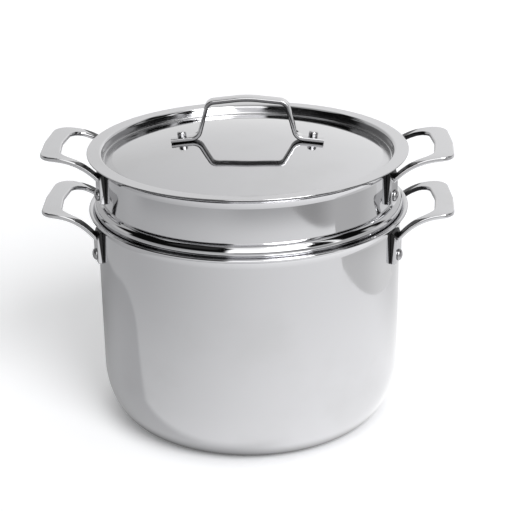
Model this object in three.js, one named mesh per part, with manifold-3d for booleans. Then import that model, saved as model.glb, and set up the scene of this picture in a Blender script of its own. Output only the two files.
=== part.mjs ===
// A tall polished steel pot, the perforated steamer insert that stands in it, and a domed lid.
// Millimetres, +Z up. The origin is at the centre of the pot's base, and the handles lie along X.
import * as THREE from 'three';
import { mergeVertices } from 'three/addons/utils/BufferGeometryUtils.js';
import Module from 'manifold-3d';

const wasm = await Module();
wasm.setup();

// The pot: a clad sheet of one thickness, with a soft base corner and a flared pouring rim.
const POT_RADIUS = 122.5; // outer face of the straight wall
const POT_SHEET = 2.5;
const POT_HEIGHT = 178; // top of the pouring rim
const POT_CORNER_REACH = 25.5; // how far the base corner curves inwards
const POT_CORNER_RISE = 44; // how far up the wall that corner ends
const POT_FLARE = 6.5; // how far the rim stands out past the wall
const POT_FLARE_RISE = 7.5; // height over which the rim turns outwards
const POT_HANDLE_REACH = 42.5; // outer edge of the grip past the wall
const POT_HANDLE_RISE = 22.6; // how far the legs rise to the grip

// The steamer insert: a collar over the pot's rim, a bead that sits in the rim, and a basket.
const INSERT_CLEARANCE = 1.5; // between the insert's wall and the inside of the pot
const INSERT_SHEET = 1;
const INSERT_COLLAR = 45; // top of the insert over the top of the pot
const INSERT_FLARE = 8.5;
const INSERT_FLARE_RISE = 4.5;
const INSERT_HANDLE_REACH = 44.5;
const INSERT_HANDLE_RISE = 19.9;
const BEAD_BULGE = 5.5; // how far the bead stands out from the insert's wall
const BEAD_HALF_HEIGHT = 6.5;
const BASKET_FLOOR_HEIGHT = 58; // underside of the basket's floor over the pot's base
const BASKET_CORNER = 14;
const BASKET_SHOULDER = 8; // height over which the wall draws in below the bead
const BASKET_CLEARANCE = 0.8; // between the basket and the rivet ends inside the pot
const BASKET_DRAFT = 2; // how much narrower the basket is at its floor
const HOLE_RADIUS = 3.5;
const HOLE_PITCH = 28; // between the rings of holes in the floor
const HOLE_MARGIN = 8; // least distance from the last ring to the basket's corner
const HOLES_IN_FIRST_RING = 6;
const WALL_HOLE_ROWS = 2;
const WALL_HOLES_PER_ROW = 18;
const WALL_HOLE_LIFT = 14; // first row over the basket's corner
const WALL_HOLE_PITCH = 18; // between the rows

// The lid: a flat flange on the insert's rim, a sunk wall, and a dome.
const LID_SHEET = 1;
const LID_OVERHANG = 1; // flange past the insert's rim
const LID_CLEARANCE = 0.6; // between the lid's wall and the inside of the insert
const LID_BEND = 2.6; // bend between flange and wall
const LID_WELL_DEPTH = 8; // edge of the dome below the flange
const LID_WELL_BEND = 1.6;
const LID_DOME_RADIUS = 460;

// The lid's handle: a flat strap bent to an arch that stands on two feet.
const STRAP_WIDTH = 10.5;
const STRAP_THICKNESS = 3.4;
const STRAP_SPAN = 121.5; // from end to end of the feet
const STRAP_FOOT = 22; // from the end of a foot to the bend over it
const STRAP_TOE = 9; // from the end of a foot to its rivet
const STRAP_LEAN = 7.75; // how far a leg leans in from its foot to the top
const STRAP_HEIGHT = 29.4; // shoulders over the middle of the dome
const STRAP_BOW = 3.5; // how much the top of the arch swells
const STRAP_KNEE_BEND = 8;
const STRAP_SHOULDER_BEND = 7;
const STRAP_BOW_BEND = 90;

// The loop handles: two ears on the wall, two legs that rise outwards, and a broad flat grip.
const HANDLE_HALF_WIDTH = 40.2; // outer corners of the grip from its middle
const HANDLE_BOW = 2.2; // how much the outer edge swells
const HANDLE_THICKNESS = 3.4;
const HANDLE_EDGE = 0.9; // eased edges of the casting
const GRIP_WIDTH = 14.7;
const GRIP_CORNER = 12;
const OPENING_CORNER = 13;
const OPENING_BOW = 3;
const LEG_WIDTH = 8;
const LEG_BASE = 9; // middle of the leg over the rivet, at the wall
const LEG_CURVE = 3; // how early the leg levels out
const EAR_SPACING = 80; // between the two rivets of a handle
const EAR_WIDTH = 16;
const EAR_THICKNESS = 4;
const EAR_TIP = 1.6; // thickness of the ear at its top
const EAR_SHOULDER = 14; // where the ear starts to thin, over the rivet
const EAR_ABOVE = 20;
const EAR_BELOW = 6;
const EAR_GAP = 0.3; // from the top of an ear to the start of the flare over it

// Rivets, as radii and heights.
const SHANK_RADIUS = 2.5;
const HANDLE_HEAD_RADIUS = 4.7;
const HANDLE_HEAD_HEIGHT = 2.6;
const LID_HEAD_RADIUS = 3.7;
const LID_HEAD_HEIGHT = 4.2;
const BUTT_RADIUS = 4.4; // flattened end on the inside
const BUTT_HEIGHT = 1.2;

// Clearances.
const SEAT_GAP = 0.3; // between pieces that touch
const SHANK_CLEARANCE = 0.3; // round a shank in its hole

// Steps of round shapes.
const TURN_STEPS = 40;
const CORNER_STEPS = 6;
const CURVE_STEPS = 4;
const BEAD_STEPS = 8;
const BEND_STEPS = 3;
const BUTT_STEPS = 2;
const LEG_STEPS = 4;
const RIVET_STEPS = 8;
const HOLE_STEPS = 8;
const SEAT_STEPS = 40;
const CUT_REACH = 4; // length of a cutter, in thicknesses of what it cuts

// Sizes that follow from the ones above.
const potInside = POT_RADIUS - POT_SHEET;
const potRimRadius = POT_RADIUS + POT_FLARE;
const potFlareStart = POT_HEIGHT - POT_SHEET - POT_FLARE_RISE;
const insertRadius = potInside - INSERT_CLEARANCE;
const insertInside = insertRadius - INSERT_SHEET;
const insertTop = POT_HEIGHT + INSERT_COLLAR;
const insertFlareStart = insertTop - INSERT_SHEET - INSERT_FLARE_RISE;
const insertRimRadius = insertRadius + INSERT_FLARE;
const lidRadius = insertRimRadius + LID_OVERHANG;
const lidTop = insertTop + SEAT_GAP + LID_SHEET;
const lidWall = insertInside - LID_CLEARANCE - LID_SHEET;
const domeDrop = LID_DOME_RADIUS - Math.sqrt(LID_DOME_RADIUS ** 2 - lidWall ** 2);
const domeTop = lidTop - LID_WELL_DEPTH + domeDrop;
const strapRivet = STRAP_SPAN / 2 - STRAP_TOE;
const strapKnee = STRAP_SPAN / 2 - STRAP_FOOT;
const holeRadius = SHANK_RADIUS + SHANK_CLEARANCE;
const rivetBelowFlare = EAR_ABOVE + EAR_GAP;

// How far a rivet's inner end stands in from the face of a wall that curves away behind it.
const facetSag = (radius) => radius * (1 - Math.cos(Math.PI / TURN_STEPS));
const buttHollow = (inside) => BUTT_RADIUS ** 2 / (2 * inside) + facetSag(inside);
const basketTop = potInside - buttHollow(potInside) - SEAT_GAP - BUTT_HEIGHT - BASKET_CLEARANCE;
const basketRadius = basketTop - BASKET_DRAFT;

const at = (x, y) => new THREE.Vector2(x, y);

// Points along an ellipse about a centre, between two angles in degrees.
function ellipse(centre, radii, from, to, steps) {
  const points = [];
  for (let i = 0; i <= steps; i += 1) {
    const angle = THREE.MathUtils.degToRad(from + ((to - from) * i) / steps);
    points.push(at(centre.x + radii.x * Math.cos(angle), centre.y + radii.y * Math.sin(angle)));
  }
  return points;
}

// A line through corners, each rounded by its own radius. A radius of 0 keeps the corner.
function rounded(corners) {
  const points = [];
  corners.forEach(({ point, radius }, i) => {
    if (!radius) {
      points.push(point);
      return;
    }
    const back = corners[i - 1].point.clone().sub(point).normalize();
    const ahead = corners[i + 1].point.clone().sub(point).normalize();
    const half = back.angleTo(ahead) / 2;
    const start = point.clone().addScaledVector(back, radius / Math.tan(half));
    const end = point.clone().addScaledVector(ahead, radius / Math.tan(half));
    const inwards = back.clone().add(ahead).normalize();
    const centre = point.clone().addScaledVector(inwards, radius / Math.sin(half));
    for (let step = 0; step <= BEND_STEPS; step += 1) {
      const spoke = start.clone().lerp(end, step / BEND_STEPS).sub(centre);
      points.push(centre.clone().addScaledVector(spoke.normalize(), radius));
    }
  });
  return points;
}

// The same line moved sideways: to its left for a positive distance.
function offset(line, distance) {
  return line.map((point, i) => {
    const straightOn = (neighbour) => point.clone().multiplyScalar(2).sub(neighbour);
    const before = line[i - 1] ?? straightOn(line[i + 1]);
    const after = line[i + 1] ?? straightOn(before);
    const out = after.clone().sub(point).normalize();
    const along = point.clone().sub(before).normalize().add(out).normalize();
    const stretch = distance / along.dot(out);
    return at(point.x - along.y * stretch, point.y + along.x * stretch);
  });
}

// A closed profile of sheet metal: one face of the sheet, a rounded edge, and the other face.
// Both faces start on the axis.
function sheetProfile(face, thickness) {
  const other = offset(face, thickness);
  other[0].x = 0;
  const edge = face.at(-1).clone().lerp(other.at(-1), 0.5);
  edge.x += Math.abs(thickness) / 2;
  const loop = [...face, edge, ...other.reverse()];
  return thickness > 0 ? loop : loop.reverse();
}

// A profile turned about the Z axis.
function turned(profile, steps = TURN_STEPS) {
  return new THREE.LatheGeometry(profile, steps).rotateX(Math.PI / 2);
}

// A solid for joining and cutting, from a closed geometry.
function solid(geometry) {
  const bare = geometry.clone();
  bare.deleteAttribute('normal');
  bare.deleteAttribute('uv');
  const merged = mergeVertices(bare);
  const triVerts = [];
  for (let i = 0; i < merged.index.count; i += 3) {
    const corners = [0, 1, 2].map((k) => merged.index.getX(i + k));
    if (new Set(corners).size === 3) triVerts.push(...corners);
  }
  const vertProperties = new Float32Array(merged.attributes.position.array);
  const mesh = new wasm.Mesh({ numProp: 3, vertProperties, triVerts: new Uint32Array(triVerts) });
  return new wasm.Manifold(mesh);
}

// The geometry of a solid after its joins and cuts.
function shape(body) {
  const { vertProperties, triVerts } = body.getMesh();
  const geometry = new THREE.BufferGeometry();
  geometry.setAttribute('position', new THREE.BufferAttribute(vertProperties, 3));
  geometry.setIndex(new THREE.BufferAttribute(triVerts, 1));
  geometry.computeVertexNormals();
  return geometry;
}

// A round cutter whose middle is at a point and whose axis lies along a direction.
function drill(point, direction, radius, length, steps) {
  const cutter = new THREE.CylinderGeometry(radius, radius, length, steps);
  const turn = new THREE.Quaternion().setFromUnitVectors(new THREE.Vector3(0, 1, 0), direction);
  cutter.applyQuaternion(turn).translate(point.x, point.y, point.z);
  return solid(cutter);
}

const cutAll = (body, cutters) => cutters.reduce((rest, cutter) => rest.subtract(cutter), body);

// Where the rivets of a pair of loop handles go through a wall, and which way they point.
function rivetPlaces(wallRadius, height) {
  const angle = Math.asin(EAR_SPACING / 2 / wallRadius);
  const places = [];
  for (const [side, x] of [['left', -1], ['right', 1]]) {
    for (const [end, y] of [['front', -1], ['back', 1]]) {
      const direction = new THREE.Vector3(x * Math.cos(angle), y * Math.sin(angle), 0);
      const point = direction.clone().multiplyScalar(wallRadius).setZ(height);
      places.push({ name: `${side}_${end}`, point, direction });
    }
  }
  return places;
}

// Rivet holes in a wall or a handle.
function rivetDrills(places) {
  const length = CUT_REACH * (EAR_THICKNESS + POT_SHEET);
  return places.map(({ point, direction }) => drill(point, direction, holeRadius, length, RIVET_STEPS));
}

// A rivet along +Z with the outer face of the sheet at 0: a flattened end, a shank and a head.
// The stack is what it holds over that face, and the hollow is how far the inner face curves in.
function rivet(sheet, hollow, stack, headRadius, headHeight) {
  const inner = -sheet - hollow - SEAT_GAP;
  const outer = stack + SEAT_GAP;
  const butt = ellipse(at(0, inner), at(BUTT_RADIUS, BUTT_HEIGHT), -90, 0, BUTT_STEPS);
  const head = ellipse(at(0, outer), at(headRadius, headHeight), 0, 90, CURVE_STEPS);
  const profile = [...butt, at(SHANK_RADIUS, inner), at(SHANK_RADIUS, outer), ...head];
  profile[0].x = 0;
  profile.at(-1).x = 0;
  return turned(profile, RIVET_STEPS);
}

// The pot
const potRimFace = (steps) => {
  const edge = potRimRadius - POT_SHEET / 2;
  return ellipse(at(edge, potFlareStart), at(edge - POT_RADIUS, POT_FLARE_RISE), 180, 90, steps);
};
const potRivets = rivetPlaces(POT_RADIUS, potFlareStart - rivetBelowFlare);

function potBody() {
  const cornerCentre = at(POT_RADIUS - POT_CORNER_REACH, POT_CORNER_RISE);
  const corner = ellipse(cornerCentre, at(POT_CORNER_REACH, POT_CORNER_RISE), -90, 0, CORNER_STEPS);
  const face = [at(0, 0), ...corner, ...potRimFace(CURVE_STEPS)];
  const body = solid(turned(sheetProfile(face, POT_SHEET)));
  return shape(cutAll(body, rivetDrills(potRivets)));
}

// The insert. Its bead comes down until it meets the inside of the pot's rim.
function seatedBeadHeight() {
  const rim = offset(potRimFace(SEAT_STEPS), POT_SHEET);
  const touching = rim.filter(({ x }) => x > insertRadius && x < insertRadius + BEAD_BULGE);
  const heights = touching.map(({ x, y }) => {
    const share = (x - insertRadius) / BEAD_BULGE;
    return y + BEAD_HALF_HEIGHT * Math.sqrt(1 - share ** 2);
  });
  return Math.max(...heights) + SEAT_GAP;
}
const beadHeight = seatedBeadHeight();
const insertRivets = rivetPlaces(insertRadius, insertFlareStart - rivetBelowFlare);

function basketHoles() {
  const down = new THREE.Vector3(0, 0, 1);
  const floor = BASKET_FLOOR_HEIGHT + INSERT_SHEET / 2;
  const floorCut = CUT_REACH * INSERT_SHEET;
  const wallCut = CUT_REACH * (BASKET_DRAFT + INSERT_SHEET);
  const holes = [drill(new THREE.Vector3(0, 0, floor), down, HOLE_RADIUS, floorCut, HOLE_STEPS)];
  const rings = Math.floor((basketRadius - BASKET_CORNER - HOLE_MARGIN) / HOLE_PITCH);
  for (let ring = 1; ring <= rings; ring += 1) {
    const count = HOLES_IN_FIRST_RING * ring;
    for (let i = 0; i < count; i += 1) {
      const angle = (2 * Math.PI * i) / count;
      const point = new THREE.Vector3(Math.cos(angle), Math.sin(angle), 0).multiplyScalar(HOLE_PITCH * ring);
      holes.push(drill(point.setZ(floor), down, HOLE_RADIUS, floorCut, HOLE_STEPS));
    }
  }
  for (let row = 0; row < WALL_HOLE_ROWS; row += 1) {
    const height = BASKET_FLOOR_HEIGHT + BASKET_CORNER + WALL_HOLE_LIFT + row * WALL_HOLE_PITCH;
    for (let i = 0; i < WALL_HOLES_PER_ROW; i += 1) {
      const angle = (2 * Math.PI * (i + row / 2)) / WALL_HOLES_PER_ROW;
      const direction = new THREE.Vector3(Math.cos(angle), Math.sin(angle), 0);
      const point = direction.clone().multiplyScalar(basketRadius).setZ(height);
      holes.push(drill(point, direction, HOLE_RADIUS, wallCut, HOLE_STEPS));
    }
  }
  return holes;
}

function insertBody() {
  const edge = insertRimRadius - INSERT_SHEET / 2;
  const cornerCentre = at(basketRadius - BASKET_CORNER, BASKET_FLOOR_HEIGHT + BASKET_CORNER);
  const flareCentre = at(edge, insertFlareStart);
  const face = [
    at(0, BASKET_FLOOR_HEIGHT),
    ...ellipse(cornerCentre, at(BASKET_CORNER, BASKET_CORNER), -90, 0, BEND_STEPS),
    at(basketTop, beadHeight - BEAD_HALF_HEIGHT - BASKET_SHOULDER),
    ...ellipse(at(insertRadius, beadHeight), at(BEAD_BULGE, BEAD_HALF_HEIGHT), -90, 90, BEAD_STEPS),
    ...ellipse(flareCentre, at(edge - insertRadius, INSERT_FLARE_RISE), 180, 90, CURVE_STEPS),
  ];
  const body = solid(turned(sheetProfile(face, INSERT_SHEET)));
  return shape(cutAll(body, [...rivetDrills(insertRivets), ...basketHoles()]));
}

// The lid
const footTilt = Math.asin(strapRivet / LID_DOME_RADIUS);
const domeHeight = (radius) => domeTop - LID_DOME_RADIUS + Math.sqrt(LID_DOME_RADIUS ** 2 - radius ** 2);
const lidRivets = [['left', -1], ['right', 1]].map(([name, x]) => {
  const point = new THREE.Vector3(x * strapRivet, 0, domeHeight(strapRivet));
  return { name, point, direction: new THREE.Vector3(x * Math.sin(footTilt), 0, Math.cos(footTilt)) };
});

function lidDrills() {
  const length = CUT_REACH * (STRAP_THICKNESS + LID_SHEET);
  return lidRivets.map(({ point, direction }) => drill(point, direction, holeRadius, length, RIVET_STEPS));
}

function lidBody() {
  const domeEnd = 90 - THREE.MathUtils.radToDeg(Math.asin(lidWall / LID_DOME_RADIUS));
  const domeCentre = at(0, domeTop - LID_DOME_RADIUS);
  const dome = ellipse(domeCentre, at(LID_DOME_RADIUS, LID_DOME_RADIUS), 90, domeEnd, CORNER_STEPS);
  const wall = rounded([
    { point: dome.at(-2), radius: 0 },
    { point: dome.at(-1), radius: LID_WELL_BEND },
    { point: at(lidWall, lidTop), radius: LID_BEND },
    { point: at(lidRadius - LID_SHEET / 2, lidTop), radius: 0 },
  ]);
  const face = [at(0, domeTop), ...dome.slice(1, -2), ...wall];
  return shape(cutAll(solid(turned(sheetProfile(face, -LID_SHEET))), lidDrills()));
}

function lidHandle() {
  const rise = (SEAT_GAP + STRAP_THICKNESS / 2) / Math.cos(footTilt);
  const footHeight = (x) => domeHeight(strapRivet) + rise - (x - strapRivet) * Math.tan(footTilt);
  const shoulder = domeTop + STRAP_HEIGHT;
  const half = [
    { point: at(STRAP_SPAN / 2, footHeight(STRAP_SPAN / 2)), radius: 0 },
    { point: at(strapKnee, footHeight(strapKnee)), radius: STRAP_KNEE_BEND },
    { point: at(strapKnee - STRAP_LEAN, shoulder), radius: STRAP_SHOULDER_BEND },
  ];
  const mirrored = half.map(({ point, radius }) => ({ point: at(-point.x, point.y), radius })).reverse();
  const crown = { point: at(0, shoulder + STRAP_BOW), radius: STRAP_BOW_BEND };
  const middle = rounded([...half, crown, ...mirrored]);
  const above = offset(middle, -STRAP_THICKNESS / 2);
  const below = offset(middle, STRAP_THICKNESS / 2);
  const outline = new THREE.Shape([...below, ...above.reverse()]);
  const strap = new THREE.ExtrudeGeometry(outline, { depth: STRAP_WIDTH, bevelEnabled: false });
  strap.rotateX(Math.PI / 2).translate(0, STRAP_WIDTH / 2, 0);
  return shape(cutAll(solid(strap), lidDrills()));
}

// The loop handles
// One edge of the loop in plan, from the front ear round the grip to the back ear.
function loopEdge(root, corner, middle, cornerRadius, middleRadius) {
  const half = [];
  const straight = 1 - cornerRadius / root.distanceTo(corner);
  for (let i = 0; i <= LEG_STEPS; i += 1) {
    half.push({ point: root.clone().lerp(corner, (straight * i) / (LEG_STEPS + 1)), radius: 0 });
  }
  half.push({ point: corner, radius: cornerRadius });
  const mirrored = half.map(({ point, radius }) => ({ point: at(point.x, -point.y), radius })).reverse();
  return rounded([...half, { point: middle, radius: middleRadius }, ...mirrored]);
}

// A closed skin over sections that all have the same number of points.
function loft(sections) {
  const count = sections[0].length;
  const positions = sections.flat().flatMap((point) => point.toArray());
  const faces = [];
  for (let i = 0; i < sections.length - 1; i += 1) {
    for (let k = 0; k < count; k += 1) {
      const a = i * count + k;
      const b = i * count + ((k + 1) % count);
      faces.push(a, b, a + count, b, b + count, a + count);
    }
  }
  const last = (sections.length - 1) * count;
  for (let k = 1; k < count - 1; k += 1) {
    faces.push(0, k + 1, k, last, last + k, last + k + 1);
  }
  const geometry = new THREE.BufferGeometry();
  geometry.setAttribute('position', new THREE.Float32BufferAttribute(positions, 3));
  geometry.setIndex(faces);
  return geometry;
}

// The legs and the grip, for a wall of the given radius and a rivet at height 0.
function loop(wallRadius, pastWall, rise) {
  const legMiddle = EAR_SPACING / 2;
  const root = Math.sqrt(wallRadius ** 2 - (legMiddle + LEG_WIDTH / 2) ** 2);
  const reach = wallRadius + pastWall;
  const start = Math.sqrt(wallRadius ** 2 - legMiddle ** 2);
  const inside = reach - GRIP_WIDTH;
  const outer = loopEdge(
    at(root, -legMiddle - LEG_WIDTH / 2),
    at(reach - HANDLE_BOW, -HANDLE_HALF_WIDTH),
    at(reach, 0),
    GRIP_CORNER,
    HANDLE_HALF_WIDTH,
  );
  const inner = loopEdge(
    at(root, -legMiddle + LEG_WIDTH / 2),
    at(inside - OPENING_BOW, LEG_WIDTH - HANDLE_HALF_WIDTH),
    at(inside, 0),
    OPENING_CORNER,
    HANDLE_HALF_WIDTH,
  );
  const half = HANDLE_THICKNESS / 2;
  const sections = outer.map((from, i) => {
    const across = inner[i].clone().sub(from);
    const width = across.length();
    const ease = HANDLE_EDGE / width;
    const low = half - HANDLE_EDGE;
    const ring = [
      [ease, -half], [1 - ease, -half], [1, -low], [1, low],
      [1 - ease, half], [ease, half], [0, low], [0, -low],
    ];
    return ring.map(([share, lift]) => {
      const plan = from.clone().addScaledVector(across, share);
      const left = 1 - (plan.x - start) / (reach - start);
      const height = LEG_BASE + rise * (1 - left ** LEG_CURVE);
      const slope = (rise * LEG_CURVE * left ** (LEG_CURVE - 1)) / (reach - start);
      const normal = at(-slope, 1).normalize().multiplyScalar(lift);
      return new THREE.Vector3(plan.x + normal.x, plan.y, height + normal.y);
    });
  });
  return solid(loft(sections));
}

// An ear that stands on the wall, in a frame whose X axis points out through the rivet.
function ear(wallRadius, angle) {
  const face = wallRadius + SEAT_GAP;
  const outline = new THREE.Shape([
    at(face - EAR_THICKNESS, -EAR_BELOW),
    at(face + EAR_THICKNESS - HANDLE_EDGE, -EAR_BELOW),
    at(face + EAR_THICKNESS, HANDLE_EDGE - EAR_BELOW),
    at(face + EAR_THICKNESS, EAR_SHOULDER),
    at(face + EAR_TIP, EAR_ABOVE),
    at(face - EAR_THICKNESS, EAR_ABOVE),
  ]);
  const plate = new THREE.ExtrudeGeometry(outline, { depth: EAR_WIDTH, bevelEnabled: false });
  plate.rotateX(Math.PI / 2).translate(0, EAR_WIDTH / 2, 0).rotateZ(angle);
  return solid(plate);
}

// A whole handle on the +X side of a wall, with the rivets at height 0.
function loopHandle(wallRadius, pastWall, rise) {
  const angle = Math.asin(EAR_SPACING / 2 / wallRadius);
  const tall = CUT_REACH * (LEG_BASE + rise + EAR_ABOVE + EAR_BELOW);
  const wall = new THREE.CylinderGeometry(wallRadius + SEAT_GAP, wallRadius + SEAT_GAP, tall, TURN_STEPS);
  const legs = loop(wallRadius, pastWall, rise);
  const cast = legs.add(ear(wallRadius, angle)).add(ear(wallRadius, -angle));
  const holes = rivetDrills(rivetPlaces(wallRadius, 0));
  return shape(cutAll(cast, [solid(wall.rotateX(Math.PI / 2)), ...holes]));
}

// Finishes
const STEEL = 0xc9cbcd;
const finishes = {
  body: { color: STEEL, metalness: 1, roughness: 0.14 },
  cast: { color: STEEL, metalness: 1, roughness: 0.1 },
  rivet: { color: STEEL, metalness: 1, roughness: 0.18 },
};

function piece(name, geometry, finish) {
  const mesh = new THREE.Mesh(geometry, new THREE.MeshStandardMaterial(finishes[finish]));
  mesh.name = name;
  return mesh;
}

// Puts a pair of loop handles and their rivets on a wall.
function fitHandles(group, name, { wallRadius, sheet, reach, rise, rivets }) {
  const geometry = loopHandle(wallRadius, reach, rise);
  for (const [side, turn] of [['left', Math.PI], ['right', 0]]) {
    const handle = piece(`${name}_handle_${side}`, geometry, 'cast');
    handle.position.z = rivets[0].point.z;
    handle.rotation.z = turn;
    group.add(handle);
  }
  const hollow = buttHollow(wallRadius - sheet);
  const stack = SEAT_GAP + EAR_THICKNESS;
  fitRivets(group, name, rivets, rivet(sheet, hollow, stack, HANDLE_HEAD_RADIUS, HANDLE_HEAD_HEIGHT));
}

function fitRivets(group, name, rivets, geometry) {
  for (const { name: place, point, direction } of rivets) {
    const fastener = piece(`${name}_rivet_${place}`, geometry, 'rivet');
    fastener.position.copy(point);
    fastener.quaternion.setFromUnitVectors(new THREE.Vector3(0, 0, 1), direction);
    group.add(fastener);
  }
}

const pot = new THREE.Group();
pot.add(piece('pot_body', potBody(), 'body'));
fitHandles(pot, 'pot', {
  wallRadius: POT_RADIUS,
  sheet: POT_SHEET,
  reach: POT_HANDLE_REACH,
  rise: POT_HANDLE_RISE,
  rivets: potRivets,
});

const insert = new THREE.Group();
insert.add(piece('insert_body', insertBody(), 'body'));
fitHandles(insert, 'insert', {
  wallRadius: insertRadius,
  sheet: INSERT_SHEET,
  reach: INSERT_HANDLE_REACH,
  rise: INSERT_HANDLE_RISE,
  rivets: insertRivets,
});

const lid = new THREE.Group();
lid.add(piece('lid_body', lidBody(), 'body'));
lid.add(piece('lid_handle', lidHandle(), 'cast'));
const lidStack = SEAT_GAP + STRAP_THICKNESS;
fitRivets(lid, 'lid', lidRivets, rivet(LID_SHEET, 0, lidStack, LID_HEAD_RADIUS, LID_HEAD_HEIGHT));

const steamerPot = new THREE.Group();
steamerPot.add(pot, insert, lid);

export default steamerPot;
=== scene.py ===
"""Polished steel looks for a steamer pot, laid over its packed solids."""

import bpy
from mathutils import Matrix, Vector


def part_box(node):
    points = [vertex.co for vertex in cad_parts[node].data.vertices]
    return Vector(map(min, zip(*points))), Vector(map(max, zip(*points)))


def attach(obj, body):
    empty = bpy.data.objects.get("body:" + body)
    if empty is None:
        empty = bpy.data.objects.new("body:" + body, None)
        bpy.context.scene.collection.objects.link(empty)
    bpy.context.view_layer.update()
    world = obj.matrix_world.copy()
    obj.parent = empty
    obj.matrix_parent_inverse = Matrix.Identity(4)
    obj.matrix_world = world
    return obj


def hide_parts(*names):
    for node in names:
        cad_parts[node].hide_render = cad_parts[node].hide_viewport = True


bl_info = {
    "name": "Steamer Pot",
    "version": (1, 0, 0),
    "blender": (4, 5, 0),
    "location": "3D View > Sidebar > Steamer Pot",
    "description": "Builds a polished pot with its steamer insert, lid, handles and rivets",
    "category": "Object",
}

from math import asin, cos, degrees, pi, radians, sin, sqrt, tan

import bmesh
import bpy
from bpy.props import FloatProperty, FloatVectorProperty, IntProperty, PointerProperty
from bpy.types import Operator, Panel, PropertyGroup
from mathutils import Matrix, Vector

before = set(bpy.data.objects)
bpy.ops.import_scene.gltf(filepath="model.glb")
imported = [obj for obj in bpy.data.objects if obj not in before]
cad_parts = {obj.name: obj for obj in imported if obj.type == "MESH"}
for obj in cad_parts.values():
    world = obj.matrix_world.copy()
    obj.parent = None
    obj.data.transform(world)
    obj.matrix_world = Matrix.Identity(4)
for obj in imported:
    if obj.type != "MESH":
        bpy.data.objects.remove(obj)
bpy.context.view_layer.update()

TURN_STEPS = 192
BEND_STEPS = 10
LEG_STEPS = 16
EDGE_STEPS = 4
SHARP_ANGLE = radians(38)
ON_AXIS = 1e-7
HOLE_STEPS = 28
RIVET_STEPS = 48
HOLE_DEPTH = 6
SHOULDER_BEND = 0.02
BEAD_SWEEP = 72
BEAD_SHADED = 10
STUD_BEND = 0.4
CUTTER_HALF = 0.1
SENSOR_WIDTH = 36
FLOOR_OUTLINE = (
    (0.42, -0.5),
    (0.55, -0.256),
    (0.447, -0.187),
    (0.305, 0.206),
    (8.0, 0.6),
    (8.0, 8.0),
    (-8.0, 8.0),
    (-8.0, -1.2),
    (0.0, -1.2),
)
# Studio cards: turn from the front to the right and rise, from and to in degrees, and the light each gives
STUDIO_CARDS = {
    "left flat": (-158, -112, -5, 42, 0.6),
    "left flat's foot": (-112, -92, -5, 16, 0.7),
    "left flat's top": (-140, -85, 54, 70, 0.7),
    "front skirting": (-92, -8, -8, 3, 0.45),
    "front haze": (-62, -22, 28, 58, 0.03),
    "softbox edge": (-13, 14, 1, 34, 2.0),
    "softbox": (14, 45, 1, 34, 2.4),
    "softbox hood": (-12, 55, 34, 54, 1.6),
    "overhead box": (-20, 78, 54, 68, 1.3),
    "stand": (65, 71, 2, 50, 1.5),
    "right skirting": (45, 118, -5, 6, 0.7),
    "right flat's foot": (96, 106, 6, 24, 0.65),
    "right flat": (118, 158, -5, 48, 0.8),
    "right flat's top": (78, 158, 54, 72, 0.8),
}
CARD_BLUR = 2.5
# Floor, with distances from the pot's axis: the part in the pot's painted contact shade as the steel and the
# eye see it
FLOOR_DROP = 0.0002
SHADE_IN_STEEL = (0.095, 0.121)
SHADE_TO_EYE = (0.085, 0.135)
STEEL_SHARE = 0.45
FLOOR_FRONT = (-0.2, 0.0)
FLOOR_BACK = (0.0, 0.2)
FLOOR_SIDES = (0.0, 0.3)
AXIS_GAP = 0.001
# Painted shade far out in front and at the sides, and painted light close to the pot, in the glow the steel
# mirrors
FAR_FLOOR = (0.6, 0.7)
FAR_SIDE = (-0.4, 0.1)
FAR_SIDE_MORE = 0.5
FAR_LOSS = 0.42
CLOSE_FLOOR = (0.12, 0.5)
CLOSE_GAIN = 0.17
SIDE_LOSS = 0.08
# Painted shade behind the pot in the glow the steel mirrors, to the right and to the left
BACK_LOSS = (0.28, 0.22)
# The painted cast shadow that the wall mirrors: its way, start, length, soft edge and depth
SHADOW_WAY = (-0.987, 0.158)
SHADOW_START = (-0.07, 0.0)
SHADOW_LENGTH = 0.285
SHADOW_EDGE = (0.114, 0.13)
SHADOW_LOSS = 0.38
SHADOW_BACK_LOSS = 0.1
# Room: turns in radians, heights as the Z of a direction
ROOM_DARK = 0.005
ROOM_TO_FLOOR = 0.72
TABLE_EDGE = [sin(radians(rise)) for rise in (-8, -4)]
TABLE_LIGHT = 0.75
TABLE_STEPS = ((0.3, 0.8, -0.33), (0.9, 1.3, 0.2), (1.6, 2.2, 0.18))
TABLE_NEAR = (-0.385, -0.36)
TABLE_NEAR_GAIN = 0.17
BACKDROP_SIDE = (2.7, 2.8)
BACKDROP_FOOT = (-0.12, -0.06)
BACKDROP_TOP = 0.86
BACKDROP_TOP_SLOPE = 0.3
BACKDROP_BLUR = 0.04
BACKDROP_SLOPE = 0.5
CEILING_EDGE = (0.9, 0.93)
CEILING_LIGHT = 0.6
CEILING_SLOPE = 1.2
# Finishes: roughness, ripple in metres, turning lines to the metre, brushing and share of the colour kept,
# under 1 for painted shade
SHEET = ("sheet_gloss", 0.00002, 900.0, 0.02)
CAST = ("cast_gloss", 0.00004, 500.0, 0.02)
RIVET = ("rivet_gloss", 0.00001, 700.0, 0.04)
# Finishes with a share under 1 are painted shade: darker copies of the same steel
FINISHES = {
    "mirror_sheet": (*SHEET, 1.0),
    "lid_sheet": (*SHEET, 1.0),
    "satin_sheet": ("satin", 0.00002, 1400.0, 0.15, 1.0),
    "shaded_sheet": ("satin", 0.00002, 900.0, 0.04, 0.08),
    "mirror_casting": (*CAST, 1.0),
    "pot_casting": (*CAST, 1.0),
    "insert_casting": (*CAST, 1.0),
    "painted_half_shade_casting": (*CAST, 0.4),
    "shaded_casting": ("satin", 0.00004, 500.0, 0.04, 0.06),
    "mirror_rivet": (*RIVET, 1.0),
    "dull_rivet": (*RIVET, 0.6),
}
LINE_SPREAD = 4
LINE_DEPTH = 0.0004
RIPPLE_SCALE = 26.0
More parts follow.
